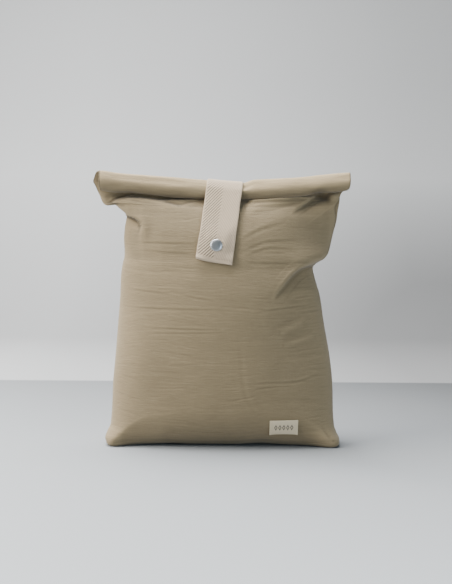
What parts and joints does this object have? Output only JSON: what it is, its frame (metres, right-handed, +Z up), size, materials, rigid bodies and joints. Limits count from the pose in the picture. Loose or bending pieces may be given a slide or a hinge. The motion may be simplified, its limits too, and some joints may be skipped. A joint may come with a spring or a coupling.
{
  "type": "roll-top lunch bag",
  "caption": "Soft cloth lunch bag with a boxed base, its mouth rolled down to the front and held by a webbing strap with a metal snap.",
  "frame": {"origin": "on the ground, under the middle of the bag's box", "axes": "+Z up, -Y towards the front that carries the strap and the label, +X to the right as seen from the front"},
  "size_m": [0.2776, 0.0974, 0.2936],
  "materials": {
    "cloth": "matte plain weave with slubs",
    "webbing": "matte herringbone twill",
    "snap_metal": "satin",
    "label_cloth": "matte woven tape"
  },
  "bodies": {
    "root": {"front_panel": "cloth", "back_panel": "cloth", "strap": "webbing", "snap_cap": "snap_metal", "snap_socket": "snap_metal", "snap_stud": "snap_metal", "label": "label_cloth"}
  },
  "joints": []
}
